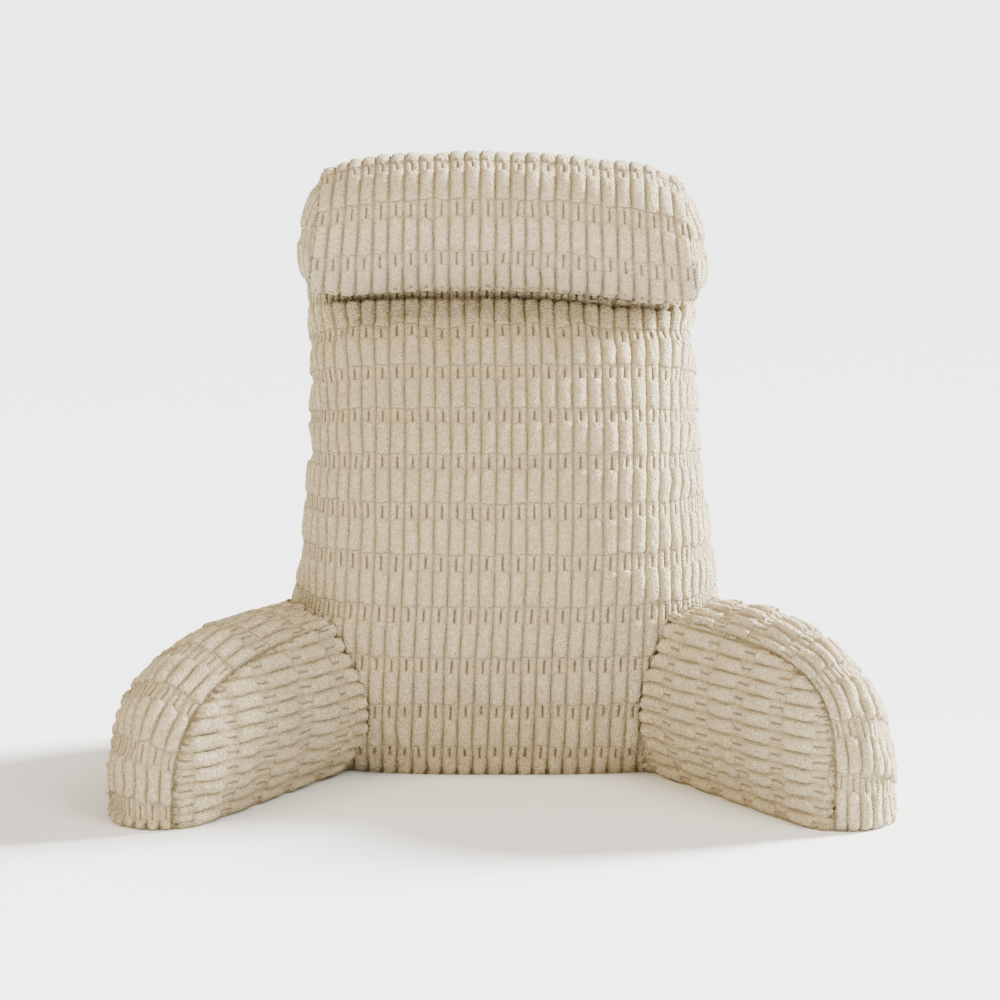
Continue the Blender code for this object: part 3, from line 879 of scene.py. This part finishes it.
def arm_band(arm):
    """The band as a grid of places over the arch, from the foot up to where each rib meets the back."""
    shares = [(rib + share) / BAND_RIBS for rib in range(BAND_RIBS) for share in RIB_COLUMNS]
    shares = np.array(shares + [1.0])
    angles = np.linspace(0.0, 0.5 * math.pi, 900)
    middle, _ = arch_point(arm, angles, (arm.inner_arch + arm.outer_arch) / 2.0)
    arc = lengths_along(middle)
    rows = np.interp(np.arange(0.0, arc[-1], ARCH_STEP), arc, angles)
    tilt = BAND_HALF_ANGLE * (1.0 - 2.0 * shares)
    radius = BAND_CHORD / 2.0 / math.sin(BAND_HALF_ANGLE)
    power = arm.inner_arch + (arm.outer_arch - arm.inner_arch) * shares
    place, normal = arch_point(arm, rows[:, None], power)
    press = 1.0 - ROOT_PRESS * np.clip(1.0 - place[..., 0] / PRESS_LENGTH, 0.0, 1.0)
    lift = press * radius * (np.cos(tilt) - math.cos(BAND_HALF_ANGLE))
    stretch = 1.0 + widening(arm, place[..., 0], place[..., 1]) / (BAND_CHORD / 2.0) * (tilt > 0.0)
    sideways = radius * np.sin(tilt) * stretch
    crest = place + normal * lift[..., None]
    local = np.stack([crest[..., 0], sideways, crest[..., 1]], axis=-1)
    grid = arm_place(arm, local)
    ends = []
    for column in range(grid.shape[1]):
        ends.append(seat_on_back(grid[:, column]))
        top = between(grid[:, column], ends[-1])
        grid[int(math.ceil(ends[-1])):, column] = top
    last = int(math.ceil(max(ends))) + 1
    seams = {}
    for title, column in (("inner", 0), ("outer", -1)):
        stop = int(math.ceil(ends[column]))
        flat = crest[:stop + 1, column].copy()
        flat[-1] = between(crest[:, column], ends[column])
        seams[title] = (flat, grid[:stop + 1, column].copy())
    pads = (np.arange(last) * ARCH_STEP - arm.first_split) / PAD
    cloth = np.stack(np.meshgrid(shares * BAND_RIBS + PANEL_CLOTHS["band"], pads), axis=-1)
    return grid[:last], cloth, seams


def arm_panel(arm, title, seam):
    """One D-shaped panel: its places and triangles, its cloth, and its edges along the back and floor."""
    inner = title == "inner"
    flat_seam, seam_places = seam
    sign = 1.0 if inner else -1.0

    def place(flat):
        offset = panel_offset(arm, flat[:, 0], flat[:, 1], inner) * sign
        return arm_place(arm, np.column_stack([flat[:, 0], offset, flat[:, 1]]))

    top = flat_seam[-1, 1]
    heights = np.array(rib_columns(arm.height / WALE, RIB_COLUMNS)) * WALE + WALE / 2.0
    heights = heights[(heights > LOW_ROW + ROW_MARGIN) & (heights < top - ROW_MARGIN)]
    heights = np.concatenate([[0.0, LOW_ROW], heights])
    root = []
    for height in heights:
        run = np.arange(np.interp(height, flat_seam[:, 1], flat_seam[:, 0]), -ARM_ROOT, -SEAT_STEP)
        run = np.column_stack([run, np.full(len(run), height)])
        root.append(between(run, seat_on_back(place(run))))
    root = np.array(root)
    floor = np.arange(root[0, 0] + FLOOR_STEP, arm.length - LOW_ROW, FLOOR_STEP)
    outline = np.concatenate([np.column_stack([floor, 0.0 * floor]), flat_seam, root[::-1]])
    split_at = arm.length - PANEL_PAD
    columns = np.arange(split_at - 9.0 * PAD, arm.length, PANEL_STEP)
    flat, faces = cut_panel(outline, columns, heights[1:], PANEL_MARGIN)
    places = place(flat)
    places[len(floor):len(floor) + len(flat_seam)] = seam_places
    cloth = np.column_stack([flat[:, 1] / WALE + PANEL_CLOTHS[title], (flat[:, 0] - split_at) / PAD])
    floor_line = np.concatenate([places[len(outline) - 1:len(outline)], places[:len(floor) + 1]])
    root_line = places[len(floor) + len(flat_seam) - 1:len(outline)]
    return places, faces, cloth, floor_line, root_line


def curl_under(piece, radius):
    """Round the edge where the sides of a cushion meet the floor."""
    places = positions(piece)
    level = outward(piece.data)[:, :2].astype(float)
    steepness = np.linalg.norm(level, axis=1)
    low = np.clip(radius - places[:, 2], 0.0, radius)
    inset = radius - np.sqrt(radius ** 2 - low ** 2)
    rim = steepness > 0.2
    places[rim, :2] -= level[rim] / steepness[rim, None] * inset[rim, None]
    move_points(piece, places)


def arm_cushion(arm):
    """One arm's cover: band, two panels, underside and the part of the root that is sewn to the back."""
    cover = new_cover()
    grid, cloth, seams = arm_band(arm)
    sew_grid(cover, grid, cloth)
    floor_lines = {}
    lines = [grid[-1], grid[0]]
    for title in ("inner", "outer"):
        places, faces, cloth, floor_lines[title], root_line = arm_panel(arm, title, seams[title])
        sew_on(cover, places, faces, cloth)
        lines += [seams[title][1], floor_lines[title], root_line]
    inner, outer = floor_lines["inner"][::-1], floor_lines["outer"]
    chord = np.linspace(outer[0], inner[-1], 16)[1:-1]
    lip = np.array([onto_back((x, y, LIP_HEIGHT)) for x, y, _ in chord])
    lip[:, 2] = 0.0
    outline = np.concatenate([inner, lip[::-1], outer[:-1], grid[0][::-1][:-1]])[:, :2]
    low, high = outline.min(axis=0), outline.max(axis=0)
    across, along = (np.arange(low[axis], high[axis], UNDERSIDE_STEP) for axis in (0, 1))
    flat, faces = cut_panel(outline, across, along, 1.6 * ARM_CURL)
    under = np.column_stack([flat, np.zeros(len(flat))])
    sew_on(cover, under, faces, np.full((len(under), 2), PANEL_CLOTHS["root"]))
    cover["seams"] = [dense_line(line) for line in lines]
    return cover


def close_root(piece):
    """Close the open root with rings of faces that follow the back's cover, and give its border."""
    mesh = bmesh.new()
    mesh.from_mesh(piece.data)
    following = {}
    for edge in mesh.edges:
        if edge.is_boundary:
            for vertex in edge.verts:
                following.setdefault(vertex, []).append(edge.other_vert(vertex))
    loop = [next(iter(following))]
    while len(loop) < len(following):
        loop.append(next(vertex for vertex in following[loop[-1]] if vertex not in loop[-2:]))
    edge_line = np.array([vertex.co for vertex in loop])
    centre = edge_line.mean(axis=0)
    for ring in range(1, ROOT_RINGS):
        places = edge_line + (centre - edge_line) * (ring / ROOT_RINGS)
        inside = [mesh.verts.new(onto_back(place)) for place in places]
        for corners in zip(loop, loop[1:] + loop[:1], inside[1:] + inside[:1], inside):
            mesh.faces.new(corners)
        loop = inside
    middle = mesh.verts.new(onto_back(centre))
    for one, two in zip(loop, loop[1:] + loop[:1]):
        mesh.faces.new((one, two, middle))
    write_back(mesh, piece.data)
    return edge_line


for seed, arm in enumerate(ARMS, 2):
    arm_cover = arm_cushion(arm)
    piece = close_cover(arm_cover, arm.name + "_cover")
    root_line = close_root(piece)
    curl_under(piece, ARM_CURL)
    root_seam = dense_line(np.concatenate([root_line, root_line[:1]]))
    fill_cover(piece, arm_cover["seams"] + [root_seam], 0.0030, 0.0028, seed, near_the_back)
    mark_edges(piece, arm_cover["seams"], ARM_SEAM_DEPTH, root_seam, ROOT_SEAM_DEPTH)
    finish_piece(piece, arm.name, arm.name + "_cloth", float(seed), ARM_RELIEF)


# ==================== the head bolster
# A round bolster lies across the top of the face, seated on it. Its ribs run round it, so the pads go
# over the top, and a domed round panel with straight ribs is sewn on each end.

BOLSTER_LENGTH = 0.400  # seam to seam, 25 ribs
BOLSTER_RADIUS = 0.0735
BOLSTER_CENTRE_X = -0.003
BOLSTER_CENTRE_Y = 0.024
BOLSTER_CENTRE_Z = 0.569
BOLSTER_ARCH = 0.016  # how much lower the ends lie than the middle
BOLSTER_TILT = 0.005  # how much lower the right end lies than a level bolster's
BOLSTER_LEAN = 0.12  # how far its ends lean in for each metre of height above its axis
BOLSTER_SAG = 0.026  # how far its underside lies back towards the face it rests on
BOLSTER_HANG = 0.004  # and how much lower it hangs than a round form's
BOLSTER_SHOULDER = 0.048  # length over which each end narrows to its end panel
SHOULDER_POWER = 2.2  # how late it narrows
BOLSTER_PADS = 8  # pads round the bolster
BOLSTER_FIRST_SPLIT = math.radians(20.0)
BOLSTER_DOME = 0.015  # swell of the round end panels
END_PANEL_SHARE = 0.86  # radius of an end panel over the bolster's radius
DOME_POWER = 2.6  # how flat the end panels are in their middle
BOLSTER_SEAM_DEPTH = 0.001  # how far the end seams draw the cover in
BOLSTER_CLOTHS = {-1.0: 700.0, 1.0: 800.0, 0.0: 900.0}  # where each panel's ribs are counted from
# The bolster's grooves and slots are darker than the others' as painted shade, since its ribs are lower and
# cast less.
BOLSTER_RELIEF = {
    "Rib Height": 0.0038, "Rib Squareness": 4.2, "Lumps": 0.0018, "Slackness": 0.0004, "End Drop": 0.90,
    "Half Rib Height": 0.0014, "Groove": (0.45, 0.335, 0.165, 1.0), "Slot": (0.26, 0.17, 0.08, 1.0),
}


def bolster_place(across, angle, radius):
    """World places round the bolster's arched axis."""
    share = 2.0 * across / BOLSTER_LENGTH
    centre_z = BOLSTER_CENTRE_Z - BOLSTER_ARCH * share ** 2 - BOLSTER_TILT * share
    rise = radius * np.sin(angle)
    x = BOLSTER_CENTRE_X + across - BOLSTER_LEAN * share ** 3 * rise
    below = (np.minimum(rise, 0.0) / BOLSTER_RADIUS) ** 2
    y = BOLSTER_CENTRE_Y - radius * np.cos(angle) + BOLSTER_SAG * below
    return np.stack([x, y, centre_z + rise - BOLSTER_HANG * below], axis=-1)


def bolster_cover():
    """The bolster's wrap and its two end panels."""
    cover = new_cover()
    half = BOLSTER_LENGTH / 2.0
    columns = np.array(rib_columns(half / WALE, RIB_COLUMNS)) * WALE
    across = np.unique(np.concatenate([-columns, columns, [-half, half]]))
    pad_angle = 2.0 * math.pi / BOLSTER_PADS
    steps = np.array(PAD_ROWS) / PAD * pad_angle
    angles = (BOLSTER_FIRST_SPLIT + pad_angle * np.arange(BOLSTER_PADS)[:, None] + steps).ravel()
    shoulder = np.maximum(0.0, 1.0 - (half - np.abs(across)) / BOLSTER_SHOULDER)
    radius = BOLSTER_RADIUS * (1.0 - (1.0 - END_PANEL_SHARE) * shoulder ** SHOULDER_POWER)
    grid = bolster_place(across[:, None], angles, radius[:, None])
    around = (np.append(angles, angles[0] + 2.0 * math.pi) - BOLSTER_FIRST_SPLIT) / pad_angle
    wrap = np.concatenate([grid, grid[:, :1]], axis=1)
    cloth = np.stack(np.meshgrid(around, across / WALE + 0.5 + BOLSTER_CLOTHS[0.0]), axis=-1)[..., ::-1]
    sew_grid(cover, wrap, cloth)
    for side, row in ((-1.0, 0), (1.0, -1)):
        size = BOLSTER_RADIUS * END_PANEL_SHARE
        outline = np.stack([-size * np.cos(angles), size * np.sin(angles)], axis=1)
        ribs = np.array(rib_columns(size / WALE, RIB_COLUMNS)) * WALE
        rows = np.concatenate([count * PAD + np.array(PAD_ROWS) for count in (-1, 0, 1)])
        ribs = np.unique(np.concatenate([-ribs, ribs]))
        flat, faces = cut_panel(outline, ribs, np.sort(rows), PANEL_MARGIN)
        reach = np.minimum(np.linalg.norm(flat, axis=1) / size, 1.0)
        dome = BOLSTER_DOME * (1.0 - reach ** DOME_POWER)
        places = bolster_place(side * (half + dome), np.arctan2(flat[:, 1], -flat[:, 0]), reach * size)
        places[:len(outline)] = grid[row]
        cloth = np.column_stack([flat[:, 0] / WALE + 0.5 + BOLSTER_CLOTHS[side], flat[:, 1] / PAD])
        sew_on(cover, places, faces, cloth)
        cover["seams"].append(dense_line(np.concatenate([grid[row], grid[row][:1]])))
    return cover


bolster_parts = bolster_cover()
bolster = close_cover(bolster_parts, "head_bolster_cover")
fill_cover(bolster, bolster_parts["seams"], 0.0030, 0.0012, 5, near_the_back)
places = positions(bolster)
heights = np.array([height_above_back(point) for point in places])
pressed = heights < SEAT_GAP
places[pressed] = [onto_back(point) for point in places[pressed]]
move_points(bolster, places)
mark_edges(bolster, bolster_parts["seams"], BOLSTER_SEAM_DEPTH)
finish_piece(bolster, "head_bolster", "bolster_cloth", 6.0, BOLSTER_RELIEF)


# ==================== the studio
# A pale floor, a broad cool light from the right and a little behind, a warm one from the left, a soft
# one from the right in front, and a camera that looks down a little from the front.

CAMERA_TARGET = Vector((-0.0058, -0.066, 0.2869))
CAMERA_DISTANCE = 6.0
CAMERA_ELEVATION = math.radians(12.0)
CAMERA_LENS = 205.2
FLOOR_REACH = 20.0
LIGHT_TARGET = Vector((0.0, 0.0, 0.3))

floor_mesh = bpy.data.meshes.new("floor")
corners = [(x * FLOOR_REACH, y * FLOOR_REACH, 0.0) for x, y in ((-1, -1), (1, -1), (1, 1), (-1, 1))]
floor_mesh.from_pydata(corners, [], [(0, 1, 2, 3)])
floor_material = bpy.data.materials.new("pale_floor")
floor_material.use_nodes = True
floor_shader = floor_material.node_tree.nodes["Principled BSDF"].inputs
floor_shader["Base Color"].default_value = (0.92, 0.92, 0.92, 1.0)
floor_shader["Roughness"].default_value = 0.9
floor_mesh.materials.append(floor_material)
floor = new_object("floor", floor_mesh)


# A far light is as wide as its angle, and a square one close by as wide as its size. All face the cushion.
for name, kind, place, width, size, power, colour in (
    ("key_light", "SUN", (3.2, 1.45, 1.7), "angle", math.radians(14.0), 30.0, (0.94, 0.975, 1.0)),
    ("fill_light", "AREA", (-2.5, -2.3, 3.2), "size", 2.6, 170.0, (1.0, 0.81, 0.53)),
    ("front_light", "AREA", (2.0, -2.2, 3.6), "size", 2.6, 175.0, (1.0, 0.95, 0.86)),
):
    lamp = bpy.data.lights.new(name, kind)
    setattr(lamp, width, size)
    lamp.energy = power
    lamp.color = colour
    light = new_object(name, lamp)
    light.location = place
    light.rotation_euler = (LIGHT_TARGET - Vector(place)).to_track_quat("-Z", "Y").to_euler()

world = bpy.data.worlds.new("studio")
world.use_nodes = True
sky = world.node_tree.nodes["Background"].inputs
sky["Color"].default_value = (1.0, 1.0, 1.0, 1.0)
sky["Strength"].default_value = 0.54
bpy.context.scene.world = world

camera_data = bpy.data.cameras.new("camera")
camera_data.lens = CAMERA_LENS
camera_data.sensor_width = 36.0
camera_data.clip_end = 60.0
camera = new_object("camera", camera_data)
looking = Vector((0.0, math.cos(CAMERA_ELEVATION), -math.sin(CAMERA_ELEVATION)))
camera.location = CAMERA_TARGET - looking * CAMERA_DISTANCE
camera.rotation_euler = looking.to_track_quat("-Z", "Y").to_euler()
bpy.context.scene.camera = camera
